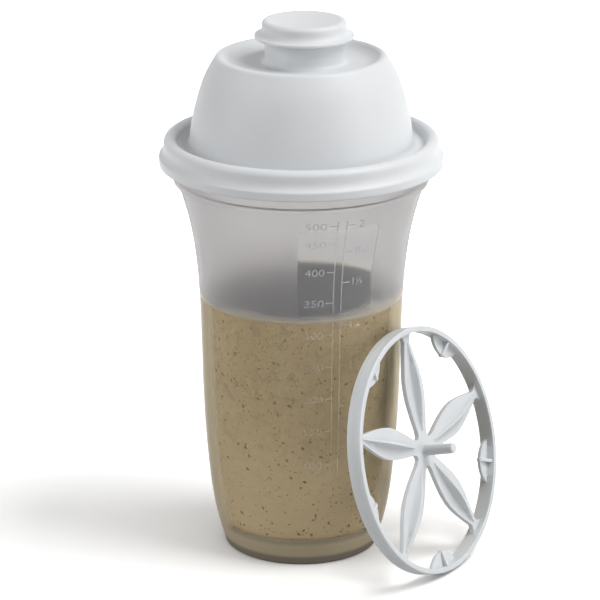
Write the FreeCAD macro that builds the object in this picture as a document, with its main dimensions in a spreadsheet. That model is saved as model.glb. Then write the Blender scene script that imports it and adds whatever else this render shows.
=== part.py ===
import FreeCAD, Part
import math
import os
import Sketcher
from FreeCAD import Placement, Rotation, Vector

os.makedirs("parts", exist_ok=True)
doc = FreeCAD.newDocument("shaker")

# ---------------------------------------------------------------- sizes, mm
# The part stands on z = 0 with the cup's axis on the origin.
sheet = doc.addObject("Spreadsheet::Sheet", "sizes")
cells = [
    # cup: radii of the outside at the heights that shape it
    ("foot_radius", 28.9, "outside, just above the table"),
    ("foot_round", 1.25, "rounding of the standing ring"),
    ("foot_width", 2.1, "flat of the standing ring"),
    ("foot_hollow", 4.1, "height of the hollow under the floor"),
    ("floor_thickness", 1.5, ""),
    ("floor_round", 5.2, "inside corner between floor and wall"),
    ("cup_wall", 1.4, ""),
    ("heel_radius", 31.45, "outside"),
    ("heel_height", 10.2, ""),
    ("belly_radius", 34.5, "outside"),
    ("belly_height", 29.7, ""),
    ("body_radius", 36.35, "outside"),
    ("body_height", 56.0, ""),
    ("waist_radius", 37.2, "outside, where the wall is nearly straight"),
    ("waist_height", 87.7, ""),
    # the wall's upper part goes with the collar: steps in from its outside, drops from the rim
    ("flare_step", 7.55, ""),
    ("flare_drop", 42.5, ""),
    ("shoulder_step", 4.9, ""),
    ("shoulder_drop", 27.6, ""),
    ("throat_step", 1.2, "just under the collar"),
    ("throat_drop", 14.8, ""),
    ("collar_radius", 46.4, "outside"),
    ("collar_wall", 0.75, ""),
    ("collar_band", 0.25, "how far the band round the collar's foot stands out"),
    ("collar_band_height", 1.7, ""),
    ("ledge_rise", 1.3, "seat for the mixing wheel, above the throat"),
    ("collar_height", 7.1, "throat to the start of the rim's flare"),
    ("rim_flare", 2.0, "how far the rim stands out from the collar"),
    ("rim_flare_height", 3.4, ""),
    ("rim_wall", 1.5, ""),
    ("rim_top_height", 155.5, ""),
    ("rim_round", 0.6, ""),
    # dressing
    ("fill_height", 97.6, "level of the dressing"),
    ("liquid_gap", 0.1, "dressing to cup wall"),
    # lid
    ("lid_clearance", 0.35, "lid to cup, all round"),
    ("lid_wall", 1.4, ""),
    ("channel_roof", 1.9, "lid above the cup's rim"),
    ("bead_inner_wall", 1.2, "between the gutter and the cup's rim"),
    ("lip_overhang", 1.8, "widest edge of the lid, out from the bead"),
    ("lip_height", 2.7, "upright edge of the lip, with its rounding"),
    ("lip_round", 0.7, ""),
    ("lip_shoulder_out", 1.44, "bead to where the lip's top starts to turn down"),
    ("lip_shoulder_rise", 0.84, ""),
    ("lip_shoulder_round", 1.05, ""),
    ("lip_flare_height", 3.0, "hollow between the bead and the lip"),
    ("lip_flare_round", 3.9, ""),
    ("skirt_drop", 8.5, "skirt's foot below the cup's rim"),
    ("skirt_mouth", 1.55, "how far the skirt opens at its mouth"),
    ("skirt_mouth_height", 2.5, ""),
    ("plug_drop", 7.6, "plug's foot below the cup's rim"),
    ("plug_wall", 1.2, ""),
    ("gutter_drop", 1.7, "gutter's floor below the cup's rim"),
    ("gutter_width", 4.55, "bead to the dome's foot"),
    ("gutter_round", 2.4, "where the dome rises from the gutter"),
    # the dome: steps in from its foot, shares of the way from the gutter up to the crest
    ("dome_low_step", 1.2, ""),
    ("dome_low_share", 0.3036, ""),
    ("dome_mid_step", 3.14, ""),
    ("dome_mid_share", 0.5417, ""),
    ("dome_high_step", 5.95, ""),
    ("dome_high_share", 0.7798, ""),
    ("crest_step", 11.25, "dome's foot to the ring where it is highest"),
    ("crest_drop", 11.2, "crest's top below the spout's"),
    ("crest_round", 2.0, ""),
    ("dish_step", 7.05, "crest's ring to the flat of the dish inside it"),
    ("dish_depth", 2.7, "dish's flat below the crest's top"),
    ("dish_round", 8.5, "from the dish's flat up to the crest"),
    # spout, on an axis a little to the side of the cup's
    ("spout_offset", 1.05, ""),
    ("spout_radius", 14.35, "outside"),
    ("spout_wall", 1.45, ""),
    ("spout_fillet", 1.8, ""),
    ("spout_round", 0.5, ""),
    # spout cap
    ("cap_clearance", 0.3, "cap to spout, all round"),
    ("cap_wall", 0.75, ""),
    ("cap_top_height", 200.3, "the whole part's height"),
    ("cap_rise", 1.7, "cap's top above the spout's"),
    ("cap_round", 1.7, ""),
    ("cap_roll", 2.72, "width and radius of the rim's slope inside its edge"),
    ("cap_roll_drop", 0.204, ""),
    ("cap_bowl_depth", 2.5, ""),
    ("cap_bowl_round", 37, ""),
    ("cap_roof", 1.3, ""),
    ("cap_roof_rise", 1.875, "roof's underside, axis to plug"),
    ("cap_roof_round", 34, ""),
    ("cap_flange_overhang", 2.65, "out from the cap's side"),
    ("cap_flange_drop", 5.0, "flange's foot below the spout's top"),
    ("cap_flange_height", 3.8, "flange's foot to where it leaves the cap's side"),
    ("cap_flange_round", 2.9, "hollow between the cap's side and its flange"),
    ("cap_flange_edge", 1.2, ""),
    ("cap_flange_land", 1.92, "under the flange's edge, with its rounding"),
    ("cap_flange_tip", 0.6, "rounding of the edge's foot"),
    ("cap_plug_wall", 1.1, ""),
    ("cap_plug_height", 3.9, ""),
    # mixing wheel, in its own frame: its axis is z, its back face z = 0
    ("wheel_clearance", 0.15, "wheel to collar, when it sits in the cup"),
    ("wheel_width", 5.8, ""),
    ("wheel_wall", 1.85, ""),
    ("wheel_edge", 0.2, "bevels of the ring"),
    ("wheel_groove_depth", 0.1, "two fine grooves round the ring"),
    ("wheel_groove_width", 0.4, ""),
    ("wheel_groove_height", 2.5, "back face to the first groove"),
    ("wheel_groove_pitch", 1.1, ""),
    ("petal_count", 5, ""),
    ("petal_thickness", 1.8, ""),
    ("petal_back", 1.8, "ring's back face to the petals' back face"),
    ("petal_root_radius", 7.3, "where a petal's sides start to swell"),
    ("petal_root_width", 5.6, ""),
    ("petal_wide_radius", 24.1, "where a petal is widest"),
    ("petal_wide_width", 11.5, ""),
    ("petal_tip_gap", 3.25, "ring to where a petal is narrowest"),
    ("petal_tip_width", 3.2, ""),
    ("petal_fullness", 1.14, "half-way widths over the mean of their neighbours"),
    ("petal_foot_width", 8.6, "where a petal meets the ring"),
    ("petal_foot_round", 1.15, "foot's radius over the tip's gap"),
    ("petal_notch_round", 1.5, "between two petals at the hub"),
    ("rib_height", 2.8, "rib along each petal, at its highest"),
    ("rib_half_height", 1.984, "half-way to its ends"),
    ("rib_end_height", 0.4, ""),
    ("rib_base", 2.8, ""),
    ("rib_top", 0.7, ""),
    ("rib_half_share", 0.85, "of its width, half-way to its ends"),
    ("rib_end_share", 0.45, "of its width, at its ends"),
    ("tab_radius", 9.6, "round tabs between the petals"),
    ("tab_depth", 5.3, "how far a tab reaches in from the ring"),
    ("tab_thickness", 1.25, ""),
    ("tab_rib_height", 2.0, "gusset on each tab, at the ring"),
    ("tab_rib_tip_height", 0.5, "at the tab's edge"),
    ("tab_rib_width", 1.2, ""),
    ("tab_rib_overhang", 0.5, "how far the gusset runs past the tab's edge"),
    ("hub_radius", 4.0, ""),
    ("peg_radius", 2.1, ""),
    ("peg_tip_radius", 1.85, ""),
    ("peg_length", 12.5, "from the petals' front face"),
    ("peg_fillet", 0.8, ""),
    ("peg_tip_round", 0.5, ""),
    # how the wheel leans on the cup
    ("lean_azimuth", -32.67, "degrees from +X to the way the peg points"),
    ("lean_angle", 15.1, "degrees the peg points up"),
    ("lean_side", 2.0, "wheel's centre, sideways from the cup's axis"),
    ("lean_gap", 0.3, "wheel to cup wall"),
    ("wheel_roll", 5.0, "degrees the petals are turned from upright"),
]
size = {}
for row, (alias, value, note) in enumerate(cells, 1):
    sheet.set(f"A{row}", alias)
    sheet.set(f"B{row}", str(value))
    sheet.set(f"C{row}", note)
    sheet.setAlias(f"B{row}", alias)
doc.recompute()
for alias, value, note in cells:
    size[alias] = float(sheet.get(alias))


class Length:
    """A length with the sheet formula that gives it."""

    def __init__(self, value, formula):
        self.value = value
        self.formula = formula

    def __add__(self, other):
        other = length(other)
        return Length(self.value + other.value, f"({self.formula} + {other.formula})")

    def __sub__(self, other):
        other = length(other)
        return Length(self.value - other.value, f"({self.formula} - {other.formula})")

    def __mul__(self, other):
        other = length(other)
        return Length(self.value * other.value, f"({self.formula} * {other.formula})")

    def __truediv__(self, other):
        other = length(other)
        return Length(self.value / other.value, f"({self.formula} / {other.formula})")

    __radd__ = __add__
    __rmul__ = __mul__

    def __neg__(self):
        return Length(-self.value, f"(0 - {self.formula})")


def length(item):
    """The sheet cell of that name, or a plain number, as a Length."""
    if isinstance(item, Length):
        return item
    if isinstance(item, str):
        return Length(size[item], f"sizes.{item}")
    return Length(float(item), repr(float(item)))


# ------------------------------------------------------------ sketch helpers
def new_body(name):
    body = doc.addObject("PartDesign::Body", name)
    body.Label = name
    return body


def plane(body, role):
    return next(f for f in body.Origin.OriginFeatures if f.Role == role)


def new_sketch(body, name, role, offset=None):
    sketch = body.newObject("Sketcher::SketchObject", name)
    sketch.AttachmentSupport = [(plane(body, role), "")]
    sketch.MapMode = "FlatFace"
    if offset is not None:
        sketch.AttachmentOffset = Placement(Vector(0, 0, offset.value), Rotation())
        sketch.setExpression("AttachmentOffset.Base.z", offset.formula)
    return sketch


def tie(sketch, edge, end, x, y):
    """Bind one end of an edge to sheet formulas."""
    for kind, item in (("DistanceX", x), ("DistanceY", y)):
        index = sketch.addConstraint(Sketcher.Constraint(kind, -1, 1, edge, end, item.value))
        sketch.setExpression(f"Constraints[{index}]", item.formula)


class Outline:
    """A closed chain of lines, arcs and curves whose corners are bound to the sheet."""

    def __init__(self, sketch, x, y):
        self.sketch = sketch
        self.first = None
        self.last = None
        self.start = (length(x), length(y))
        self.here = self.start

    def vector(self, point):
        return Vector(point[0].value, point[1].value, 0)

    def add(self, geometry, end, closing, end_number=2):
        edge = self.sketch.addGeometry(geometry, False)
        start_number = 3 - end_number
        if self.last is None:
            self.first = (edge, start_number)
            tie(self.sketch, edge, start_number, *self.start)
        else:
            self.sketch.addConstraint(
                Sketcher.Constraint("Coincident", *self.last, edge, start_number))
        if closing:
            self.sketch.addConstraint(
                Sketcher.Constraint("Coincident", edge, end_number, *self.first))
        else:
            tie(self.sketch, edge, end_number, *end)
        self.last = (edge, end_number)
        self.here = end
        return edge

    def line(self, x, y):
        end = (length(x), length(y))
        self.add(Part.LineSegment(self.vector(self.here), self.vector(end)), end, False)
        return self

    def close(self):
        a, b = self.vector(self.here), self.vector(self.start)
        self.add(Part.LineSegment(a, b), self.start, True)

    def arc(self, x, y, radius, left, closing=False):
        """Arc to x, y that turns left or right on its way."""
        end = (length(x), length(y))
        radius = length(radius)
        a, b = self.vector(self.here), self.vector(end)
        chord = b - a
        half = chord.Length / 2
        rise = math.sqrt(max(radius.value ** 2 - half ** 2, 0))
        across = Vector(-chord.y, chord.x, 0).normalize()
        centre = (a + b) * 0.5 + across * (rise if left else -rise)
        at_a = math.atan2(a.y - centre.y, a.x - centre.x)
        at_b = math.atan2(b.y - centre.y, b.x - centre.x)
        circle = Part.Circle(centre, Vector(0, 0, 1), radius.value)
        if left:
            edge = self.add(Part.ArcOfCircle(circle, at_a, at_b), end, closing)
        else:
            edge = self.add(Part.ArcOfCircle(circle, at_b, at_a), end, closing, 1)
        index = self.sketch.addConstraint(Sketcher.Constraint("Radius", edge, radius.value))
        self.sketch.setExpression(f"Constraints[{index}]", radius.formula)
        return self

    def curve(self, *points):
        """Smooth curve through the points, the last of which is its end."""
        points = [(length(x), length(y)) for x, y in points]
        spline = Part.BSplineCurve()
        spline.interpolate([self.vector(p) for p in (self.here, *points)])
        self.add(spline, points[-1], False)
        return self


def revolve(body, sketch, name, kind="PartDesign::Revolution", axis="V_Axis"):
    feature = body.newObject(kind, name)
    feature.Profile = sketch
    feature.ReferenceAxis = (sketch, [axis])
    feature.Angle = 360
    sketch.Visibility = False
    return feature


def pad(body, sketch, name, thickness):
    feature = body.newObject("PartDesign::Pad", name)
    feature.Profile = sketch
    feature.Length = thickness.value
    feature.setExpression("Length", thickness.formula)
    sketch.Visibility = False
    return feature


def repeat(body, features, name):
    pattern = body.newObject("PartDesign::PolarPattern", name)
    pattern.Originals = features
    pattern.Axis = (plane(body, "Z_Axis"), [""])
    pattern.Angle = 360
    pattern.Occurrences = int(size["petal_count"])
    pattern.setExpression("Occurrences", "sizes.petal_count")
    body.Tip = pattern
    return pattern


# --------------------------------------------------------------------- cup
floor_top = length("foot_hollow") + "floor_thickness"
collar_inner = length("collar_radius") - "collar_wall"
rim_outer = length("collar_radius") + "rim_flare"
rim_inner = rim_outer - "rim_wall"
throat_height = length("rim_top_height") - "throat_drop"
collar_top = throat_height + "collar_height"
flare_top = collar_top + "rim_flare_height"
ledge_height = throat_height + "ledge_rise"
spout_top = length("cap_top_height") - "cap_rise"


def wall_points(inset):
    """Points up the cup's wall, a distance in from its outside."""
    points = [(length(f"{place}_radius"), length(f"{place}_height"))
              for place in ("heel", "belly", "body", "waist")]
    points += [(length("collar_radius") - f"{place}_step", length("rim_top_height") - f"{place}_drop")
               for place in ("flare", "shoulder", "throat")]
    return [(radius - inset, height) for radius, height in points]


def make_cup():
    body = new_body("cup")
    sketch = new_sketch(body, "cup_section", "XZ_Plane")
    standing = length("foot_radius") - "foot_round"
    hollow = standing - "foot_width"
    band = length("collar_radius") + "collar_band"
    band_bottom = throat_height + "collar_band"
    band_top = band_bottom + "collar_band_height"
    rise = length("rim_round")
    section = Outline(sketch, hollow, 0)
    section.line(standing, 0)
    section.arc("foot_radius", "foot_round", "foot_round", True)
    section.curve(*wall_points(0))
    section.line(band, band_bottom)
    section.line(band, band_top)
    section.line("collar_radius", band_top + "collar_band")
    section.line("collar_radius", collar_top)
    section.line(rim_outer, flare_top)
    section.line(rim_outer, length("rim_top_height") - rise)
    section.arc(rim_outer - rise, "rim_top_height", rise, True)
    section.line(rim_inner + rise, "rim_top_height")
    section.arc(rim_inner, length("rim_top_height") - rise, rise, True)
    section.line(rim_inner, flare_top + "rim_round")
    section.line(collar_inner, collar_top + "rim_round")
    section.line(collar_inner, ledge_height)
    inner = wall_points("cup_wall")[::-1]
    section.line(inner[0][0], ledge_height)
    section.line(*inner[0])
    section.curve(*inner[1:])
    section.arc(inner[-1][0] - "floor_round", floor_top, "floor_round", False)
    section.line(0, floor_top)
    section.line(0, "foot_hollow")
    section.line(hollow - "foot_round", "foot_hollow")
    section.close()
    revolve(body, sketch, "cup_wall_revolved")
    return body


def make_dressing():
    body = new_body("dressing")
    sketch = new_sketch(body, "dressing_section", "XZ_Plane")
    inset = length("cup_wall") + "liquid_gap"
    inner = wall_points(inset)
    bottom = floor_top + "liquid_gap"
    section = Outline(sketch, 0, bottom)
    section.line(inner[0][0] - "floor_round", bottom)
    section.arc(*inner[0], "floor_round", True)
    section.curve(*inner[1:])
    section.line(0, throat_height)
    section.close()
    revolve(body, sketch, "dressing_filled")
    # the cup's inside is filled to the throat, then emptied down to the level
    above = new_sketch(body, "above_level", "XZ_Plane")
    empty = Outline(above, 0, "fill_height")
    empty.line(collar_inner, "fill_height")
    empty.line(collar_inner, ledge_height)
    empty.line(0, ledge_height)
    empty.close()
    revolve(body, above, "dressing_level", "PartDesign::Groove")
    return body


# --------------------------------------------------------------------- lid
dome_slopes = (("low", 0.15), ("mid", 0.3), ("high", 0.47))
to_dish = (-0.669, 0.743)  # directions from the middle of the crest's rounding
to_dome = (0.825, 0.565)


def make_lid():
    body = new_body("lid")
    gap = length("lid_clearance")
    wall = length("lid_wall")
    roof = length("rim_top_height")
    skirt_inner = rim_outer + gap
    bead_outer = skirt_inner + wall
    channel_inner = rim_inner - gap
    bead_inner = channel_inner - "bead_inner_wall"
    bead_round = (bead_outer - bead_inner) / 2
    bead_middle = bead_inner + bead_round
    bead_top = roof + "channel_roof"
    bead_side = bead_top - bead_round
    skirt_bottom = roof - "skirt_drop"
    lip = bead_outer + "lip_overhang"
    lip_top = skirt_bottom + "lip_height"
    flare_foot = lip_top + "lip_shoulder_rise"
    flare_head = flare_foot + "lip_flare_height"
    plug_outer = collar_inner - gap
    plug_inner = plug_outer - "plug_wall"
    plug_bottom = roof - "plug_drop"
    gutter = roof - "gutter_drop"
    gutter_round = length("gutter_round")
    dome_foot = bead_inner - "gutter_width"
    gutter_inner = dome_foot + gutter_round
    gutter_outer = bead_inner - (bead_side - gutter)
    crest = dome_foot - "crest_step"
    crest_top = spout_top - "crest_drop"
    crest_round = length("crest_round")
    crest_middle = crest_top - crest_round
    dish = crest_top - "dish_depth"
    dish_edge = crest - "dish_step"

    def dome(inset, slopes):
        """Points of the dome, set in square to its slope at each."""
        points = []
        for place, slope in slopes:
            radius = dome_foot - f"dome_{place}_step"
            height = gutter + (crest_top - gutter) * f"dome_{place}_share"
            points.append((radius - inset * (1 - slope ** 2 / 2), height - inset * slope))
        return points

    def crest_end(radius, way):
        """Where the crest's rounding ends, in a direction from its middle."""
        return crest + radius * way[0], crest_middle + radius * way[1]

    sketch = new_sketch(body, "lid_section", "XZ_Plane")
    section = Outline(sketch, 0, dish - wall)
    # underside, from the axis to the plug
    section.line(dish_edge, dish - wall)
    inner_round = crest_round - wall
    section.arc(*crest_end(inner_round, to_dish), length("dish_round") + wall, True)
    section.arc(*crest_end(inner_round, to_dome), inner_round, False)
    section.curve(*dome(wall, dome_slopes[::-1]), (dome_foot - wall, gutter + gutter_round))
    section.arc(gutter_inner, gutter - wall, gutter_round + wall, True)
    section.line(plug_inner, gutter - wall)
    section.line(plug_inner, plug_bottom)
    section.line(plug_outer, plug_bottom)
    section.line(plug_outer, collar_top + "rim_round")
    section.line(channel_inner, flare_top + "rim_round")
    section.line(channel_inner, roof)
    section.line(skirt_inner, roof)
    section.line(skirt_inner, skirt_bottom + "skirt_mouth_height")
    section.line(skirt_inner + "skirt_mouth", skirt_bottom)
    # outside, from the lip back to the axis
    lip_round = length("lip_round")
    section.line(lip - lip_round, skirt_bottom)
    section.arc(lip, skirt_bottom + lip_round, lip_round, True)
    section.line(lip, lip_top)
    section.arc(bead_outer + "lip_shoulder_out", flare_foot, "lip_shoulder_round", True)
    section.arc(bead_outer, flare_head, "lip_flare_round", False)
    section.line(bead_outer, bead_side)
    section.arc(bead_middle, bead_top, bead_round, True)
    section.arc(bead_inner, bead_side, bead_round, True)
    section.arc(gutter_outer, gutter, bead_side - gutter, False)
    section.line(gutter_inner, gutter)
    section.arc(dome_foot, gutter + gutter_round, gutter_round, False)
    section.curve(*dome(length(0), dome_slopes), crest_end(crest_round, to_dome))
    section.arc(*crest_end(crest_round, to_dish), crest_round, True)
    section.arc(dish_edge, dish, "dish_round", False)
    section.line(0, dish)
    section.close()
    revolve(body, sketch, "lid_shell")

    spout_inner = length("spout_radius") - "spout_wall"
    neck = new_sketch(body, "spout_section", "XZ_Plane")
    centre = length("spout_offset")
    outer = centre + "spout_radius"
    fillet = length("spout_fillet")
    edge = length("spout_round")
    section = Outline(neck, centre + spout_inner - "spout_round", dish - wall / 2)
    section.line(outer + fillet, dish - wall / 2)
    section.line(outer + fillet, dish)
    section.arc(outer, dish + fillet, fillet, False)
    section.line(outer, spout_top - edge)
    section.arc(outer - edge, spout_top, edge, True)
    section.line(centre + spout_inner - "spout_round", spout_top)
    section.close()
    add_axis(neck, centre)
    revolve(body, neck, "spout", axis="Axis0")

    bore = new_sketch(body, "bore_section", "XZ_Plane")
    section = Outline(bore, centre, dish - wall * 2)
    section.line(centre + spout_inner, dish - wall * 2)
    section.line(centre + spout_inner, spout_top + wall)
    section.line(centre, spout_top + wall)
    section.close()
    add_axis(bore, centre)
    revolve(body, bore, "spout_bore", "PartDesign::Groove", "Axis0")
    return body


def add_axis(sketch, x):
    """Construction line up the sketch at x, to turn a section about."""
    top = length("cap_top_height")
    line = Part.LineSegment(Vector(x.value, 0, 0), Vector(x.value, top.value, 0))
    edge = sketch.addGeometry(line, True)
    tie(sketch, edge, 1, x, length(0))
    tie(sketch, edge, 2, x, top)


# --------------------------------------------------------------- spout cap
def make_cap():
    body = new_body("spout_cap")
    sketch = new_sketch(body, "cap_section", "XZ_Plane")
    centre = length("spout_offset")
    inner = centre + "spout_radius" + "cap_clearance"
    outer = inner + "cap_wall"
    top = length("cap_top_height")
    rounding = length("cap_round")
    flange = outer + "cap_flange_overhang"
    flange_bottom = spout_top - "cap_flange_drop"
    flange_top = flange_bottom + "cap_flange_height"
    edge = length("cap_flange_edge")
    tip = length("cap_flange_tip")
    plug_outer = centre + "spout_radius" - "spout_wall" - "cap_clearance"
    plug_inner = plug_outer - "cap_plug_wall"
    bowl = top - "cap_bowl_depth"
    ceiling = bowl - "cap_roof"
    section = Outline(sketch, centre, ceiling)
    section.arc(plug_inner, ceiling + "cap_roof_rise", "cap_roof_round", True)
    section.line(plug_inner, spout_top - "cap_plug_height")
    section.line(plug_outer, spout_top - "cap_plug_height")
    section.line(plug_outer, spout_top)
    section.line(inner, spout_top)
    section.line(inner, flange_top - edge)
    section.arc(flange - "cap_flange_land", flange_bottom, edge + "cap_flange_round", True)
    section.line(flange - tip, flange_bottom)
    section.arc(flange, flange_bottom + tip, tip, True)
    section.line(flange, flange_bottom + edge)
    section.arc(outer, flange_top, "cap_flange_round", False)
    section.line(outer, top - rounding)
    section.arc(outer - rounding, top, rounding, True)
    section.arc(outer - "cap_roll", top - "cap_roll_drop", "cap_roll", True)
    section.arc(centre, bowl, "cap_bowl_round", False)
    section.close()
    add_axis(sketch, centre)
    revolve(body, sketch, "cap_shell", axis="Axis0")
    return body


# ------------------------------------------------------------ mixing wheel
def make_wheel():
    body = new_body("mixing_wheel")
    radius = collar_inner - "wheel_clearance"
    inner = radius - "wheel_wall"
    width = length("wheel_width")
    back = length("petal_back")
    front = back + "petal_thickness"

    edge = length("wheel_edge")
    depth = length("wheel_groove_depth")
    ring = new_sketch(body, "ring_section", "XZ_Plane")
    section = Outline(ring, inner, 0)
    section.line(radius - edge, 0)
    section.line(radius, edge)
    for number in range(2):
        low = length("wheel_groove_height") + length("wheel_groove_pitch") * number
        high = low + "wheel_groove_width"
        section.line(radius, low)
        section.line(radius - depth, low + depth)
        section.line(radius - depth, high - depth)
        section.line(radius, high)
    section.line(radius, width - edge)
    section.line(radius - edge, width)
    section.line(inner, width)
    section.close()
    revolve(body, ring, "ring")

    hub = new_sketch(body, "hub_section", "XZ_Plane")
    peg_end = front + "peg_length"
    peg = length("peg_radius")
    fillet = length("peg_fillet")
    section = Outline(hub, 0, back)
    section.line("hub_radius", back)
    section.line("hub_radius", front)
    section.line(peg + fillet, front)
    section.arc(peg, front + fillet, fillet, False)
    section.line("peg_tip_radius", peg_end - "peg_tip_round")
    section.arc(length("peg_tip_radius") - "peg_tip_round", peg_end, "peg_tip_round", True)
    section.line(0, peg_end)
    section.close()
    revolve(body, hub, "hub_and_peg")

    seat = inner + length("wheel_wall") / 2
    stations = petal_stations(inner)
    petal = add_petal(body, back, inner, seat, stations)
    rib = add_rib(body, front, stations)
    petals = repeat(body, [petal, rib], "petals")
    round_notches(body, petals)
    repeat(body, add_tab(body, back, inner, seat), "tabs")
    place_wheel(body, radius.value, width.value)
    return body


def petal_stations(inner):
    """Distance out and half width at five places along a petal."""
    out = [length("petal_root_radius"), length("petal_wide_radius"), inner - "petal_tip_gap"]
    half = [length(f"petal_{place}_width") / 2 for place in ("root", "wide", "tip")]
    full = length("petal_fullness") / 2
    return [(out[0], half[0]),
            ((out[0] + out[1]) / 2, (half[0] + half[1]) * full),
            (out[1], half[1]),
            ((out[1] + out[2]) / 2, (half[1] + half[2]) * full),
            (out[2], half[2])]


def add_petal(body, back, inner, seat, stations):
    """Leaf from the hub to the ring, with a flared foot where it meets the ring."""
    sketch = new_sketch(body, "petal_outline", "XY_Plane", back)
    root_y = stations[0][1]
    tip_x, tip_y = stations[-1]
    foot_y = length("petal_foot_width") / 2
    foot_round = length("petal_tip_gap") * "petal_foot_round"
    middle = length("petal_thickness") / 2
    section = Outline(sketch, middle, -root_y)
    section.line(stations[0][0], -root_y)
    section.curve(*[(x, -y) for x, y in stations[1:]])
    section.arc(inner, -foot_y, foot_round, False)
    section.line(seat, -foot_y)
    section.line(seat, foot_y)
    section.line(inner, foot_y)
    section.arc(tip_x, tip_y, foot_round, False)
    section.curve(*stations[-2::-1])
    section.line(middle, root_y)
    section.close()
    return pad(body, sketch, "petal", length("petal_thickness"))


def add_rib(body, front, stations):
    """Rib along the petal: a loft through five upright sections."""
    end = (length("rib_end_height"), length("rib_end_share"))
    half = (length("rib_half_height"), length("rib_half_share"))
    forms = (end, half, (length("rib_height"), length(1)), half, end)
    bottom = front - length("petal_thickness") / 2
    sketches = []
    for number, (station, (height, share)) in enumerate(zip(stations, forms)):
        sketch = new_sketch(body, f"rib_section_{number + 1}", "YZ_Plane", station[0])
        base = length("rib_base") / 2 * share
        crown = length("rib_top") / 2 * share
        section = Outline(sketch, -base, bottom)
        section.line(base, bottom)
        section.line(crown, front + height)
        section.line(-crown, front + height)
        section.close()
        sketch.Visibility = False
        sketches.append(sketch)
    loft = body.newObject("PartDesign::AdditiveLoft", "rib")
    loft.Profile = sketches[0]
    loft.Sections = sketches[1:]
    return loft


def round_notches(body, petals):
    """Fillet the upright edges where neighbouring petals meet at the hub."""
    doc.recompute()
    meeting = size["petal_root_width"] / 2 / math.sin(math.pi / size["petal_count"])
    names = []
    for number, edge in enumerate(petals.Shape.Edges, 1):
        ends = [vertex.Point for vertex in edge.Vertexes]
        upright = len(ends) == 2 and math.hypot(ends[0].x - ends[1].x, ends[0].y - ends[1].y) < 1e-6
        if upright and abs(math.hypot(ends[0].x, ends[0].y) - meeting) < 1e-3:
            names.append(f"Edge{number}")
    fillet = body.newObject("PartDesign::Fillet", "notches")
    fillet.Base = (petals, names)
    fillet.Radius = size["petal_notch_round"]
    fillet.setExpression("Radius", "sizes.petal_notch_round")
    body.Tip = fillet


def add_tab(body, back, inner, seat):
    """Round tab inside the ring, half a pitch round from a petal, with its gusset."""
    half_pitch = math.degrees(math.pi / size["petal_count"])
    tab_radius = length("tab_radius")
    tip = inner - "tab_depth"
    half = math.sqrt(tab_radius.value ** 2 - (tab_radius.value - size["tab_depth"]) ** 2)
    depth_left = tab_radius - "tab_depth"
    chord = Length(half, f"sqrt({tab_radius.formula}^2 - {depth_left.formula}^2)")
    sketch = new_sketch(body, "tab_outline", "XY_Plane", back)
    sketch.AttachmentOffset = Placement(Vector(0, 0, back.value), Rotation(half_pitch, 0, 0))
    section = Outline(sketch, inner, -chord)
    section.line(seat, -chord)
    section.line(seat, chord)
    section.line(inner, chord)
    section.arc(tip, 0, tab_radius, True)
    section.arc(inner, -chord, tab_radius, True, closing=True)
    tab = pad(body, sketch, "tab", length("tab_thickness"))

    side = new_sketch(body, "tab_rib_outline", "XZ_Plane")
    side.AttachmentOffset = Placement(Vector(), Rotation(Vector(0, 1, 0), half_pitch))
    top = back + "tab_thickness"
    start = tip - "tab_rib_overhang"
    section = Outline(side, start, back)
    section.line(seat, back)
    section.line(seat, top + "tab_rib_height")
    section.line(inner, top + "tab_rib_height")
    section.line(tip, top + "tab_rib_tip_height")
    section.line(start, top)
    section.close()
    gusset = pad(body, side, "tab_rib", length("tab_rib_width"))
    gusset.SideType = "Symmetric"
    return [tab, gusset]


def cup_radius_at(height):
    """Outside radius of the cup at a height, from the points of its wall."""
    points = [Vector(size["foot_radius"], size["foot_round"], 0)]
    points += [Vector(radius.value, up.value, 0) for radius, up in wall_points(0)]
    spline = Part.BSplineCurve()
    spline.interpolate(points)
    level = Part.LineSegment(Vector(0, height, 0), Vector(2 * size["collar_radius"], height, 0))
    hits = spline.intersectCC(level)
    return hits[0].X if hits else 0.0


ring_steps = 3600  # places round the ring that are tried against the cup


def place_wheel(body, radius, width):
    """Stand the wheel on the table, leaning on the cup with the gap between them."""
    azimuth = math.radians(size["lean_azimuth"])
    lean = math.radians(size["lean_angle"])
    outward = Vector(math.cos(azimuth), math.sin(azimuth), 0)
    sideways = Vector(-math.sin(azimuth), math.cos(azimuth), 0)
    axis = outward * math.cos(lean) + Vector(0, 0, math.sin(lean))
    upward = axis.cross(sideways)
    # the back edge of the ring is lowest: its radius and its depth both lower it
    middle_height = radius * upward.z + width / 2 * axis.z
    reach = 0.0
    for step in range(ring_steps):
        turn = 2 * math.pi * step / ring_steps
        edge = (sideways * math.cos(turn) + upward * math.sin(turn)) * radius
        point = edge - axis * (width / 2) + sideways * size["lean_side"]
        height = point.z + middle_height
        if not size["foot_round"] < height < throat_height.value:
            continue
        across = point.dot(sideways)
        need = cup_radius_at(height) + size["lean_gap"]
        if abs(across) < need:
            reach = max(reach, math.sqrt(need ** 2 - across ** 2) - point.dot(outward))
    centre = outward * reach + sideways * size["lean_side"] + Vector(0, 0, middle_height)
    roll = math.radians(size["wheel_roll"])
    petal_way = upward * math.cos(roll) + sideways * math.sin(roll)
    turned = Rotation(petal_way, Vector(), axis, "ZXY")
    body.Placement = Placement(centre - axis * (width / 2), turned)


make_cup()
make_dressing()
make_lid()
make_cap()
make_wheel()
doc.recompute()

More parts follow.
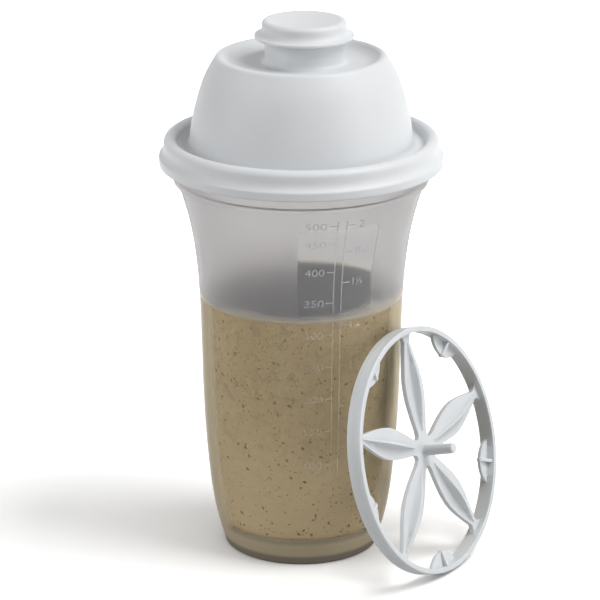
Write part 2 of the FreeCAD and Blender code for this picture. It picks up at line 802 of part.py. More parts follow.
# ------------------------------------------------------- checks and export
nodes = [item for item in doc.Objects if item.TypeId == "PartDesign::Body"]
for item in doc.Objects:
    if "Invalid" in item.State or "Error" in item.State:
        raise RuntimeError(f"{item.Name} failed: {item.State}")
for node in nodes:
    shape = node.Shape
    if shape.isNull() or not shape.isValid():
        raise RuntimeError(f"{node.Label} has no valid shape")
    if len(shape.Solids) != 1:
        raise RuntimeError(f"{node.Label} has {len(shape.Solids)} solids")
for node in nodes:
    node.Shape.exportStep(f"parts/{node.Label}.step")
    box = node.Shape.BoundBox
    print(f"{node.Label}: volume {node.Shape.Volume / 1000:.2f} ml, x {box.XMin:.2f} {box.XMax:.2f}, "
          f"y {box.YMin:.2f} {box.YMax:.2f}, z {box.ZMin:.2f} {box.ZMax:.2f}")
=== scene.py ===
import math

import bmesh
import bpy
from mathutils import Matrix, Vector


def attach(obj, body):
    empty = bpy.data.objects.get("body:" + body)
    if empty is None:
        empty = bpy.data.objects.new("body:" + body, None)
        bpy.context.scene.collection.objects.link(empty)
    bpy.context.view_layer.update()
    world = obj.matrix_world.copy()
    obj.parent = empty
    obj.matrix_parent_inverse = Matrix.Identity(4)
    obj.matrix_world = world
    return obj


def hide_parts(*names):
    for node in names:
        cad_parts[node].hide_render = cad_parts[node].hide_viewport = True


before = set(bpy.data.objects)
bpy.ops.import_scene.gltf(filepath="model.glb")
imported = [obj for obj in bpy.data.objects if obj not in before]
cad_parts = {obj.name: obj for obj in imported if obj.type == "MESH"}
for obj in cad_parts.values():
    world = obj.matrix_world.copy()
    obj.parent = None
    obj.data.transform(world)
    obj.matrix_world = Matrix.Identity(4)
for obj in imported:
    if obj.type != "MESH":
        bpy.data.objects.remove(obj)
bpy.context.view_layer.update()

mm = 0.001  # sizes of the pieces are in millimetres, turns in degrees
tiny = 1e-6
fullTurn = 2 * math.pi
fillLevel = 97.6  # the dressing reaches this height


def addObject(name, data):
    item = bpy.data.objects.new(name, data)
    bpy.context.collection.objects.link(item)
    return item


# helpers for nodes
def addNode(tree, kind, **settings):
    node = tree.nodes.new(kind)
    for name, value in settings.items():
        setattr(node, name, value)
    return node


def feed(tree, socket, item):
    # a link from another node, a colour or a number
    if isinstance(item, bpy.types.NodeSocket):
        tree.links.new(item, socket)
    elif isinstance(item, tuple):
        socket.default_value = (*item, 1)
    else:
        socket.default_value = item


def mathNode(tree, operation, *items):
    node = addNode(tree, "ShaderNodeMath", operation=operation)
    for socket, item in zip(node.inputs, items):
        feed(tree, socket, item)
    return node.outputs[0]


def product(tree, first, *others):
    for item in others:
        first = mathNode(tree, "MULTIPLY", first, item)
    return first


def mapRange(tree, value, low, high, bottom=0.0, top=1.0):
    node = addNode(tree, "ShaderNodeMapRange")
    for name, item in (("From Min", low), ("From Max", high), ("To Min", bottom), ("To Max", top)):
        node.inputs[name].default_value = item
    tree.links.new(value, node.inputs["Value"])
    return node.outputs[0]


def cameraMask(tree):
    # 1 for what the camera sees directly, in a mirror or through the cup
    path = addNode(tree, "ShaderNodeLightPath").outputs
    seen = mathNode(tree, "MAXIMUM", path["Is Camera Ray"], path["Is Glossy Ray"])
    return mathNode(tree, "MAXIMUM", seen, path["Is Transmission Ray"])


# camera, lamps and floor
view = {"distance": 1184, "elevation": 18.4, "aim": (-0.48, 0, 93.93), "focal": 192, "sensor": 36}
studio = {  # metres, watts and levels of light
    "worldLight": 0.235, "lampAim": (0, 0, 0.09),
    "lamps": {  # name: place, size, watts
        "keyLamp": ((0.90, -0.22, 1.45), 1.1, 20.5),
        "fillLamp": ((-1.25, -0.45, 0.65), 1.1, 8.2),
        "sideLamp": ((1.35, -0.60, 0.35), 0.9, 6.5),
    },
    "floorSize": 4.0, "floorColour": 0.5, "floorSeen": 1.05, "floorFar": 1.9, "near": 0.10, "far": 0.55,
    "floorGlow": 0.33, "contact": 0.06, "contactShadeDark": 0.25, "contactSamples": 8,
}


def placeCamera():
    aim = Vector(view["aim"]) * mm
    tilt = math.radians(view["elevation"])
    data = bpy.data.cameras.new("camera")
    data.sensor_width = view["sensor"]
    data.lens = view["focal"]
    camera = addObject("camera", data)
    camera.location = aim + Vector((0, -math.cos(tilt), math.sin(tilt))) * view["distance"] * mm
    camera.rotation_euler = (math.pi / 2 - tilt, 0, 0)
    bpy.context.scene.camera = camera


def lightStudio():
    world = bpy.data.worlds.new("studio")
    bpy.context.scene.world = world
    world.use_nodes = True
    tree = world.node_tree
    tree.nodes.clear()
    # a plain world lights the object, and a white one is what the camera sees
    mix = addNode(tree, "ShaderNodeMixShader")
    tree.links.new(cameraMask(tree), mix.inputs[0])
    for socket, strength in zip(mix.inputs[1:], (studio["worldLight"], 1)):
        background = addNode(tree, "ShaderNodeBackground")
        background.inputs["Color"].default_value = (1, 1, 1, 1)
        background.inputs["Strength"].default_value = strength
        tree.links.new(background.outputs[0], socket)
    tree.links.new(mix.outputs[0], addNode(tree, "ShaderNodeOutputWorld").inputs[0])
    for name, (place, across, watts) in studio["lamps"].items():
        data = bpy.data.lights.new(name, "AREA")
        data.shape = "DISK"
        data.size = across
        data.energy = watts
        lamp = addObject(name, data)
        lamp.location = place
        beam = Vector(studio["lampAim"]) - lamp.location
        lamp.rotation_euler = beam.to_track_quat("-Z", "Y").to_euler()


def floorMaterial():
    # the camera sees the floor paler than the light that it throws back, and paler away from the object
    material = bpy.data.materials.new("paleFloor")
    material.use_nodes = True
    tree = material.node_tree
    tree.nodes.clear()
    seen = cameraMask(tree)
    away = addNode(tree, "ShaderNodeVectorMath", operation="LENGTH")
    tree.links.new(addNode(tree, "ShaderNodeTexCoord").outputs["Object"], away.inputs[0])
    pale = mapRange(tree, away.outputs["Value"], studio["near"], studio["far"],
                    studio["floorSeen"] - studio["floorColour"], studio["floorFar"] - studio["floorColour"])
    board = addNode(tree, "ShaderNodeBsdfDiffuse")
    colour = mathNode(tree, "ADD", product(tree, pale, seen), studio["floorColour"])
    tree.links.new(colour, board.inputs["Color"])
    # painted contact shadow: the glow fades where a piece stands close above the floor
    touch = addNode(tree, "ShaderNodeAmbientOcclusion", samples=studio["contactSamples"])
    touch.inputs["Distance"].default_value = studio["contact"]
    soft = mapRange(tree, touch.outputs["AO"], studio["contactShadeDark"], 1, 0, studio["floorGlow"])
    glow = addNode(tree, "ShaderNodeEmission")
    tree.links.new(product(tree, seen, soft), glow.inputs["Strength"])
    both = addNode(tree, "ShaderNodeAddShader")
    tree.links.new(board.outputs[0], both.inputs[0])
    tree.links.new(glow.outputs[0], both.inputs[1])
    tree.links.new(both.outputs[0], addNode(tree, "ShaderNodeOutputMaterial").inputs[0])
    return material


def layFloor():
    half = studio["floorSize"] / 2
    corners = [(-half, -half, 0), (half, -half, 0), (half, half, 0), (-half, half, 0)]
    mesh = bpy.data.meshes.new("floor")
    mesh.from_pydata(corners, [], [(0, 1, 2, 3)])
    mesh.materials.append(floorMaterial())
    floor = addObject("floor", mesh)


placeCamera()
lightStudio()
layFloor()
bpy.context.scene.view_settings.view_transform = "Standard"
print("studio ready")


# what the materials share
def startMaterial(name):
    material = bpy.data.materials.new(name)
    material.use_nodes = True
    tree = material.node_tree
    shader = tree.nodes["Principled BSDF"]
    place = addNode(tree, "ShaderNodeTexCoord").outputs["Object"]
    return material, tree, shader, place


def noise(tree, place, scale, detail, rough=0.5):
    node = addNode(tree, "ShaderNodeTexNoise")
    node.inputs["Scale"].default_value = scale
    node.inputs["Detail"].default_value = detail
    node.inputs["Roughness"].default_value = rough
    tree.links.new(place, node.inputs["Vector"])
    return node.outputs["Fac"]


def patches(tree, place, kind, bottom=0.0, top=1.0):
    # a kind of patches is the noise's scale, detail and roughness, and its levels at bottom and top
    scale, detail, rough, low, high = kind
    return mapRange(tree, noise(tree, place, scale, detail, rough), low, high, bottom, top)


def levelMask(tree, height, level, fade, most=1.0):
    # from nothing to most between two heights, which fade gives from the level
    return mapRange(tree, height, (level + fade[0]) * mm, (level + fade[1]) * mm, 0, most)


def mixColour(tree, factor, first, second):
    node = addNode(tree, "ShaderNodeMix", data_type="RGBA")
    for index, item in ((0, factor), (6, first), (7, second)):
        feed(tree, node.inputs[index], item)
    return node.outputs[2]


def relief(tree, shader, place, kind):
    # a kind of relief is the noise's scale and detail, its strength and its depth in metres
    scale, detail, strength, depth = kind
    node = addNode(tree, "ShaderNodeBump")
    node.inputs["Strength"].default_value = strength
    node.inputs["Distance"].default_value = depth
    tree.links.new(noise(tree, place, scale, detail), node.inputs["Height"])
    tree.links.new(node.outputs[0], shader.inputs["Normal"])


def cupPlace(tree, place):
    # degrees round the cup from the side that faces the camera, to the right positive, and the height
    parts = addNode(tree, "ShaderNodeSeparateXYZ")
    tree.links.new(place, parts.inputs[0])
    turn = mathNode(tree, "ARCTAN2", parts.outputs["X"], product(tree, parts.outputs["Y"], -1.0))
    return product(tree, turn, 180 / math.pi), parts.outputs["Z"]


# satin plastic of the lid, the spout cap and the wheel
plastic = {
    "cloud": (38, 3, 0.5, 0.35, 0.65), "patch": (120, 4, 0.6, 0.3, 0.7), "smoother": 0.05, "rougher": 0.06,
    "specular": 0.35, "scatter": 0.002, "grain": (2600, 2, 0.12, 0.00004),
}
whiteLook = {
    "colour": (0.69, 0.705, 0.717), "shade": (0.67, 0.685, 0.70), "roughness": 0.42, "through": 0.15,
}
wheelLook = {
    "colour": (0.635, 0.655, 0.668), "shade": (0.615, 0.635, 0.652), "roughness": 0.40, "through": 0.6,
}


def mouldedPlastic(name, look):
    # faint cloudiness in the colour, a fine spark-eroded grain, a little light through thin walls
    material, tree, shader, place = startMaterial(name)
    shader.inputs["Subsurface Weight"].default_value = look["through"]
    shader.inputs["Subsurface Radius"].default_value = (1, 1, 1)
    shader.inputs["Subsurface Scale"].default_value = plastic["scatter"]
    shader.inputs["Specular IOR Level"].default_value = plastic["specular"]
    colour = mixColour(tree, patches(tree, place, plastic["cloud"]), look["shade"], look["colour"])
    tree.links.new(colour, shader.inputs["Base Color"])
    rough = patches(tree, place, plastic["patch"],
                    look["roughness"] - plastic["smoother"], look["roughness"] + plastic["rougher"])
    tree.links.new(rough, shader.inputs["Roughness"])
    relief(tree, shader, place, plastic["grain"])
    return material


# frosted plastic of the cup
window = {"left": -2.0, "right": 41.0, "top": 137, "fade": 8, "edge": 0.8}
cupLook = {
    "dryColour": (0.63, 0.62, 0.618), "wetColour": (0.635, 0.58, 0.485), "paneColour": (0.545, 0.542, 0.54),
    "edgeShadeColour": (0.55, 0.55, 0.55), "wetEdgeColour": (0.50, 0.425, 0.285),
    "filmColour": (0.56, 0.50, 0.385), "footShadeColour": (0.26, 0.225, 0.18),
    "levelFade": (-1, 2),
    "passes": 0.94, "dryBend": 1.33, "wetBend": 1.05,
    "dryFrost": 0.42, "wetFrost": 0.165, "paneClear": 0.7, "footFrost": 0.45,
    "frostPatch": (60, 3, 0.5, 0.3, 0.7), "frostLess": 0.92, "frostMore": 1.08,
    "facing": 0.35, "dryEdge": (0.75, 1.0), "wetEdge": (0.40, 0.56), "wetEdgeDepth": 0.92,
    "baseTop": 8.4, "baseFade": (3, -0.4), "baseDepth": 0.95,
    "footTop": 3.4, "footFade": (0.7, -0.7), "footPasses": 0.5,
    "grain": (1800, 2, 0.12, 0.00004),
}
film = {  # what clings to the wall over the dressing; start, full, back and front are turns
    "start": 18, "full": 34, "low": 3.0, "high": 8.0, "depth": 0.6, "fade": (-0.6, 0.4),
    "back": 105, "front": 85, "ragged": (70, 2, 0.5, 0.35, 0.65), "less": 0.5, "more": 1.3,
}


def paneMask(tree, angle, height):
    # the clear window in the frosting fades towards its top
    edge = window["edge"]
    left = mapRange(tree, angle, window["left"] - edge, window["left"] + edge)
    right = mapRange(tree, angle, window["right"] + edge, window["right"] - edge)
    return product(tree, left, right, levelMask(tree, height, window["top"], (0, -window["fade"])))


def filmMask(tree, place, angle, height):
    # a thin film, higher on the right and ragged at its upper edge
    reach = mapRange(tree, angle, film["start"], film["full"], film["low"] * mm, film["high"] * mm)
    reach = product(tree, reach, patches(tree, place, film["ragged"], film["less"], film["more"]))
    rise = mathNode(tree, "SUBTRACT", height, fillLevel * mm)
    fading = mapRange(tree, mathNode(tree, "DIVIDE", rise, reach), 0, 1, film["depth"], 0)
    start = levelMask(tree, height, fillLevel, film["fade"])
    front = mapRange(tree, mathNode(tree, "ABSOLUTE", angle), film["back"], film["front"])
    return product(tree, fading, start, front)


def frostedPlastic():
    material, tree, shader, place = startMaterial("frostedPlastic")
    angle, height = cupPlace(tree, place)
    layer = addNode(tree, "ShaderNodeLayerWeight")
    layer.inputs["Blend"].default_value = cupLook["facing"]
    facing = layer.outputs["Facing"]
    # the dressing wets the frosted inside, so below its level the wall is clearer
    dry = levelMask(tree, height, fillLevel, cupLook["levelFade"])
    pane = product(tree, paneMask(tree, angle, height), dry)
    # painted shade: the dry wall is darker where the camera sees it edge on
    dryEdge = product(tree, dry, mapRange(tree, facing, *cupLook["dryEdge"]))
    smear = filmMask(tree, place, angle, height)
    # the wet wall takes a darker dressing colour where it is seen edge on, and so does the base over the
    # foot: the dressing's colour, deepened by painted shade
    wetEdge = mapRange(tree, facing, *cupLook["wetEdge"], 0, cupLook["wetEdgeDepth"])
    wetEdge = product(tree, mathNode(tree, "SUBTRACT", 1.0, dry), wetEdge)
    base = levelMask(tree, height, cupLook["baseTop"], cupLook["baseFade"], cupLook["baseDepth"])
    tint = mathNode(tree, "MAXIMUM", wetEdge, base)
    # painted shade: the foot ring is dark brown, standing in for the shade in the hollow under the cup,
    # tinted with the dressing's colour
    foot = levelMask(tree, height, cupLook["footTop"], cupLook["footFade"])

    body = mixColour(tree, dry, cupLook["wetColour"], cupLook["dryColour"])
    for mask, colour in ((pane, "paneColour"), (dryEdge, "edgeShadeColour"), (smear, "filmColour"),
                         (tint, "wetEdgeColour"), (foot, "footShadeColour")):
        body = mixColour(tree, mask, body, cupLook[colour])
    tree.links.new(body, shader.inputs["Base Color"])

    covered = mathNode(tree, "MAXIMUM", smear, tint)
    passes = mapRange(tree, covered, 0, 1, cupLook["passes"], 0)
    footPasses = mapRange(tree, foot, 0, 1, 1, cupLook["footPasses"])
    tree.links.new(product(tree, passes, footPasses), shader.inputs["Transmission Weight"])
    # where the dressing touches the wall there is hardly any bend in the light
    tree.links.new(mapRange(tree, dry, 0, 1, cupLook["wetBend"], cupLook["dryBend"]), shader.inputs["IOR"])

    frost = mapRange(tree, dry, 0, 1, cupLook["wetFrost"], cupLook["dryFrost"])
    uneven = patches(tree, place, cupLook["frostPatch"], cupLook["frostLess"], cupLook["frostMore"])
    clear = mathNode(tree, "SUBTRACT", 1.0, product(tree, pane, cupLook["paneClear"]))
    frost = product(tree, frost, uneven, clear)
    frost = mathNode(tree, "MAXIMUM", frost, product(tree, foot, cupLook["footFrost"]))
    tree.links.new(frost, shader.inputs["Roughness"])
    relief(tree, shader, place, cupLook["grain"])
    return material


dressingLook = {
    "cloud": (45, 4, 0.5, 0.35, 0.65), "darker": (0.55, 0.51, 0.385), "paler": (0.62, 0.59, 0.485),
    "spots": (  # patches, how much of them, colour
        ((230, 4, 0.65, 0.52, 0.62), 0.42, (0.35, 0.32, 0.28)),
        ((620, 3, 0.7, 0.56, 0.68), 0.38, (0.26, 0.23, 0.16)),
        ((480, 2, 0.5, 0.60, 0.70), 0.35, (0.80, 0.76, 0.62)),
    ),
    "lowFade": (70, 15), "lowDepth": 0.75, "lowColour": (0.88, 0.83, 0.70),
    "topFacing": (0.6, 0.9), "topColour": (0.27, 0.265, 0.275),
    "roughness": 0.35, "grain": (400, 3, 0.2, 0.0002),
}


def dressingMaterial():
    material, tree, shader, place = startMaterial("dressing")
    look = dressingLook
    base = mixColour(tree, patches(tree, place, look["cloud"]), look["darker"], look["paler"])
    for kind, share, colour in look["spots"]:
        base = mixColour(tree, product(tree, patches(tree, place, kind), share), base, colour)
    # the pale table lights the lower part
    parts = addNode(tree, "ShaderNodeSeparateXYZ")
    tree.links.new(place, parts.inputs[0])
    low = levelMask(tree, parts.outputs["Z"], 0, look["lowFade"], look["lowDepth"])
    base = mixColour(tree, low, base, look["lowColour"])
    # the top lies in the cup's shade and looks grey
    way = addNode(tree, "ShaderNodeSeparateXYZ")
    tree.links.new(addNode(tree, "ShaderNodeNewGeometry").outputs["Normal"], way.inputs[0])
    top = mapRange(tree, way.outputs["Z"], *look["topFacing"])
    tree.links.new(mixColour(tree, top, base, look["topColour"]), shader.inputs["Base Color"])
    shader.inputs["Roughness"].default_value = look["roughness"]
    relief(tree, shader, place, look["grain"])
    return material


herbLook = {
    "scale": 260, "detail": 1, "paleFrom": (0.4, 0.5), "redFrom": (0.60, 0.66),
    "dark": (0.24, 0.20, 0.11), "pale": (0.35, 0.29, 0.17), "red": (0.38, 0.19, 0.11),
    "patch": (1500, 2, 0.5, 0.3, 0.7), "roughness": (0.45, 0.75),
}


def herbMaterial():
    material, tree, shader, place = startMaterial("herbs")
    look = herbLook
    kind = noise(tree, place, look["scale"], look["detail"])
    green = mixColour(tree, mapRange(tree, kind, *look["paleFrom"]), look["dark"], look["pale"])
    colour = mixColour(tree, mapRange(tree, kind, *look["redFrom"]), green, look["red"])
    tree.links.new(colour, shader.inputs["Base Color"])
    tree.links.new(patches(tree, place, look["patch"], *look["roughness"]), shader.inputs["Roughness"])
    return material


markLook = {
    "low": 90, "high": 112, "faint": 0.10, "clear": 0.42, "patch": (900, 2, 0.5, 0.3, 0.7),
    "darker": (0.70, 0.70, 0.72), "paler": (0.82, 0.82, 0.83), "roughness": (0.35, 0.45),
}


def raisedMarkMaterial():
    # the raised marks catch light, and hardly show where the dressing lies behind them
    material, tree, shader, place = startMaterial("raisedMarks")
    look = markLook
    patch = patches(tree, place, look["patch"])
    tree.links.new(mixColour(tree, patch, look["darker"], look["paler"]), shader.inputs["Base Color"])
    tree.links.new(mapRange(tree, patch, 0, 1, *look["roughness"]), shader.inputs["Roughness"])
    parts = addNode(tree, "ShaderNodeSeparateXYZ")
    tree.links.new(place, parts.inputs[0])
    shows = mapRange(tree, parts.outputs["Z"], look["low"] * mm, look["high"] * mm,
                     look["faint"], look["clear"])
    tree.links.new(shows, shader.inputs["Alpha"])
    return material


lidPlastic = mouldedPlastic("whitePlastic", whiteLook)
wheelPlastic = mouldedPlastic("wheelPlastic", wheelLook)
cupPlastic = frostedPlastic()
dressingFinish = dressingMaterial()
herbFinish = herbMaterial()
markFinish = raisedMarkMaterial()
print("materials ready")


# sections, as lists of radius and height
def arcTo(path, r, z, radius, left, steps=8):
    # arc from the path's last point to r, z that turns left or right on its way
    a, b = Vector(path[-1]), Vector((r, z))
    chord = b - a
    half = chord.length / 2
    rise = math.sqrt(max(radius ** 2 - half ** 2, 0))
    across = Vector((-chord.y, chord.x)).normalized()
    centre = (a + b) / 2 + across * (rise if left else -rise)
    start = math.atan2(a.y - centre.y, a.x - centre.x)
    sweep = math.atan2(b.y - centre.y, b.x - centre.x) - start
    if left and sweep < 0:
        sweep += fullTurn
    if not left and sweep > 0:
        sweep -= fullTurn
    for step in range(1, steps):
        turn = start + sweep * step / steps
        path.append((centre.x + radius * math.cos(turn), centre.y + radius * math.sin(turn)))
    path.append((r, z))


def splineBends(gaps, values):
    # second derivatives of a natural cubic spline, by the usual sweep down and back up
    count = len(values)
    lower, upper, right = [0.0] * count, [0.0] * count, [0.0] * count
    middle = [1.0] * count
    for i in range(1, count - 1):
        lower[i] = gaps[i - 1]
        upper[i] = gaps[i]
        middle[i] = 2 * (gaps[i - 1] + gaps[i])
        right[i] = 6 * ((values[i + 1] - values[i]) / gaps[i] - (values[i] - values[i - 1]) / gaps[i - 1])
    for i in range(1, count):
        factor = lower[i] / middle[i - 1]
        middle[i] -= factor * upper[i - 1]
        right[i] -= factor * right[i - 1]
    bends = [0.0] * count
    for i in range(count - 2, 0, -1):
        bends[i] = (right[i] - upper[i] * bends[i + 1]) / middle[i]
    return bends


def curveTo(path, points, steps=8):
    # natural cubic spline through the points, spaced by the length of their chords
    points = [path[-1], *points]
    gaps = [(Vector(b) - Vector(a)).length for a, b in zip(points, points[1:])]
    bends = [splineBends(gaps, [p[axis] for p in points]) for axis in (0, 1)]
    for i, gap in enumerate(gaps):
        for step in range(1, steps + 1):
            t = gap * step / steps
            point = []
            for axis in (0, 1):
                a, b = points[i][axis], points[i + 1][axis]
                c, d = bends[axis][i], bends[axis][i + 1]
                point.append(c * (gap - t) ** 3 / (6 * gap) + d * t ** 3 / (6 * gap)
                             + (a / gap - c * gap / 6) * (gap - t) + (b / gap - d * gap / 6) * t)
            path.append(tuple(point))


def softenCorners(path, radius, sharp=22, most=0.45, steps=3):
    # a small rounding at each corner of a closed section, as every mould leaves
    result = []
    for i, here in enumerate(path):
        before, after = Vector(path[i - 1]), Vector(path[(i + 1) % len(path)])
        here = Vector(here)
        first, second = here - before, after - here
        short = min(first.length, second.length) < tiny
        if short or here.x < tiny or math.degrees(first.angle(second)) < sharp:
            result.append(tuple(here))
            continue
        reach = min(radius, first.length * most, second.length * most)
        start, end = here - first.normalized() * reach, here + second.normalized() * reach
        for step in range(steps + 1):
            t = step / steps
            result.append(tuple(start * (1 - t) ** 2 + here * 2 * t * (1 - t) + end * t ** 2))
    return result


# meshes and pieces
def finishMesh(mesh, sharp, merge=1e-7, outwards=True):
    work = bmesh.new()
    work.from_mesh(mesh)
    bmesh.ops.remove_doubles(work, verts=work.verts, dist=merge)
    if outwards:
        bmesh.ops.recalc_face_normals(work, faces=work.faces)
    work.to_mesh(mesh)
    work.free()
    smoothMesh(mesh)
    mesh.set_sharp_from_angle(angle=math.radians(sharp))


def smoothMesh(mesh):
    mesh.polygons.foreach_set("use_smooth", [True] * len(mesh.polygons))


def turnSection(name, section, material, segments, sharp=35):
    # closed surface of revolution; each point of the section is radius, height and its axis' x
    points, rings = [], []
    for r, z, centre in section:
        if r < tiny:
            rings.append([len(points)])
            points.append((centre, 0, z))
            continue
        rings.append(list(range(len(points), len(points) + segments)))
        for step in range(segments):
            turn = fullTurn * step / segments
            points.append((centre + r * math.cos(turn), r * math.sin(turn), z))
    faces = []
    for a, b in zip(rings, rings[1:] + rings[:1]):
        if len(a) == 1 and len(b) == 1:
            continue
        for step in range(segments):
            following = (step + 1) % segments
            if len(a) == 1:
                faces.append((a[0], b[following], b[step]))
            elif len(b) == 1:
                faces.append((a[step], a[following], b[0]))
            else:
                faces.append((a[step], a[following], b[following], b[step]))
    mesh = bpy.data.meshes.new(name)
    mesh.from_pydata([tuple(c * mm for c in p) for p in points], [], faces)
    mesh.materials.append(material)
    finishMesh(mesh, sharp)
    return addObject(name, mesh)


# helpers for geometry nodes
def newTree(name, inputs):
    tree = bpy.data.node_groups.new(name, "GeometryNodeTree")
    tree.is_modifier = True
    tree.interface.new_socket("Geometry", in_out="INPUT", socket_type="NodeSocketGeometry")
    tree.interface.new_socket("Geometry", in_out="OUTPUT", socket_type="NodeSocketGeometry")
    for label, kind in inputs:
        tree.interface.new_socket(label, in_out="INPUT", socket_type=f"NodeSocket{kind}")
    return tree, addNode(tree, "NodeGroupInput").outputs, addNode(tree, "NodeGroupOutput")


def endTree(tree, geometry, given, out):
    # every tree ends in Realize Instances and Set Material
    real = addNode(tree, "GeometryNodeRealizeInstances")
    paint = addNode(tree, "GeometryNodeSetMaterial")
    tree.links.new(geometry, real.inputs["Geometry"])
    tree.links.new(real.outputs[0], paint.inputs["Geometry"])
    tree.links.new(given["Material"], paint.inputs["Material"])
    tree.links.new(paint.outputs[0], out.inputs[0])


def plainMesh(carrier):
    # the evaluated object as a mesh of its own; the carrier goes
    shapes = bpy.context.evaluated_depsgraph_get()
    mesh = bpy.data.meshes.new_from_object(carrier.evaluated_get(shapes))
    carrier.modifiers.clear()
    bpy.data.objects.remove(carrier)
    return mesh


def grow(name, base, tree, values):
    # runs the tree on a base mesh
    carrier = addObject(name, base)
    modifier = carrier.modifiers.new(name, "NODES")
    modifier.node_group = tree
    for item in tree.interface.items_tree:
        if item.in_out == "INPUT" and item.name in values:
            modifier[item.identifier] = values[item.name]
    return plainMesh(carrier)


# the cup and the dressing in it
cup = {
    "foot": 28.9, "footRound": 1.25, "footWidth": 2.1, "footHollow": 4.1,
    "floor": 1.5, "floorRound": 5.2, "wall": 1.4,
    "outside": ((31.45, 10.2), (34.5, 29.7), (36.35, 56.0), (37.2, 87.7),
                (38.85, 113.0), (41.5, 127.9), (45.2, 140.7)),
    "collar": 46.4, "collarWall": 0.75, "band": 0.25, "bandHeight": 1.7,
    "ledge": 142.0, "collarTop": 147.8, "rimFlare": 2.0, "flareTop": 151.2,
    "rimWall": 1.5, "rimTop": 155.5, "rimRound": 0.6, "edges": 0.1, "segments": 224,
}
dressing = {"gap": 0.1, "near": 0.01, "edges": 0.5, "segments": 192}


def wallInside(inset):
    return [(r - inset, z) for r, z in cup["outside"]]


def buildCup():
    throat = cup["outside"][-1]
    standing = cup["foot"] - cup["footRound"]
    hollow = standing - cup["footWidth"]
    band = cup["collar"] + cup["band"]
    bandFoot = throat[1] + cup["band"]
    bandTop = bandFoot + cup["bandHeight"]
    rimOuter = cup["collar"] + cup["rimFlare"]
    rimInner = rimOuter - cup["rimWall"]
    collarInner = cup["collar"] - cup["collarWall"]
    rise, top = cup["rimRound"], cup["rimTop"]
    floorTop = cup["footHollow"] + cup["floor"]
    inner = wallInside(cup["wall"])[::-1]
    # up the outside, over the rim and down the inside
    path = [(hollow, 0), (standing, 0)]
    arcTo(path, cup["foot"], cup["footRound"], cup["footRound"], left=True)
    curveTo(path, cup["outside"], steps=10)
    path += [(band, bandFoot), (band, bandTop), (cup["collar"], bandTop + cup["band"]),
             (cup["collar"], cup["collarTop"]), (rimOuter, cup["flareTop"]), (rimOuter, top - rise)]
    arcTo(path, rimOuter - rise, top, rise, left=True, steps=5)
    path.append((rimInner + rise, top))
    arcTo(path, rimInner, top - rise, rise, left=True, steps=5)
    path += [(rimInner, cup["flareTop"] + rise), (collarInner, cup["collarTop"] + rise),
             (collarInner, cup["ledge"]), (inner[0][0], cup["ledge"]), inner[0]]
    curveTo(path, inner[1:], steps=10)
    arcTo(path, inner[-1][0] - cup["floorRound"], floorTop, cup["floorRound"], left=False)
    path += [(0, floorTop), (0, cup["footHollow"]), (hollow - cup["footRound"], cup["footHollow"])]
    section = [(r, z, 0) for r, z in softenCorners(path, cup["edges"])]
    piece = turnSection("cupShell", section, cupPlastic, cup["segments"])
    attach(piece, "cup_body")
    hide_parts("cup")


def buildDressing():
    inner = wallInside(cup["wall"] + dressing["gap"])
    bottom = cup["footHollow"] + cup["floor"] + dressing["gap"]
    path = [(0, bottom), (inner[0][0] - cup["floorRound"], bottom)]
    arcTo(path, *inner[0], cup["floorRound"], left=True)
    curveTo(path, inner[1:], steps=10)
    # the wall's line is cut off at the level, without a point that nearly touches it
    below = [p for p in path if p[1] < fillLevel - dressing["near"]]
    (r0, z0), (r1, z1) = below[-1], path[len(below)]
    edge = r0 + (r1 - r0) * ((fillLevel - z0) / (z1 - z0))
    path = below + [(edge, fillLevel), (0, fillLevel)]
    section = [(r, z, 0) for r, z in softenCorners(path, dressing["edges"])]
    piece = turnSection("dressingFill", section, dressingFinish, dressing["segments"])
    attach(piece, "cup_body")
    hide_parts("dressing")


buildCup()
buildDressing()
print("cup ready")


# the raised scale, laid out flat first: x along the wall at the middle radius, y up, z out of the wall
scale = {
    "middleRadius": 39.0, "relief": 0.16, "sunk": 0.10, "line": 0.34, "sharp": 30,
    "millilitres": ((500, 135.3), (450, 128.1), (400, 116.9), (350, 104.9), (300, 92.5), (250, 80.2),
                    (200, 67.9), (150, 55.3), (100, 41.8)),
    "cups": (("2", 135.2), ("1\u00be", 124.5), ("1\u00bd", 112.4), ("1\u00bc", 95.7), ("1", 80.2),
             ("\u00be", 64.7), ("\u00bd", 48.4)),
    "lineAngles": (17.4, 21.9), "lineBottom": 36.0, "lineTop": 137.0, "lineSteps": 60,
    "tickAngles": ((13.4, 17.3), (22.0, 26.2)),
    "numberEnd": 12.1, "numberHeight": 2.7, "numberWidth": 7.1,
    "cupNumberStart": 28.2, "cupNumberHeight": 2.9, "cupNumberWidth": 2.3,
    "shares": {"1": 0.4, "2": 0.8}, "signShare": 0.85,  # of the width: by number, or for each sign
}


def alongWall(angle):
    return scale["middleRadius"] * math.radians(angle)


def wrapOnWall(mesh):
    # bends the flat layout round the cup's outside and turns it into metres
    wall = [(cup["foot"], cup["footRound"])]
    curveTo(wall, cup["outside"], steps=24)
    for vertex in mesh.vertices:
        x, y, out = vertex.co
        upper = next((i for i, (r, z) in enumerate(wall) if z > y), len(wall) - 1)
        (r0, z0), (r1, z1) = wall[upper - 1], wall[upper]
        radius = r0 + (r1 - r0) * (y - z0) / (z1 - z0) + out
        turn = x / scale["middleRadius"]
        vertex.co = (radius * math.sin(turn) * mm, -radius * math.cos(turn) * mm, y * mm)
    finishMesh(mesh, scale["sharp"])


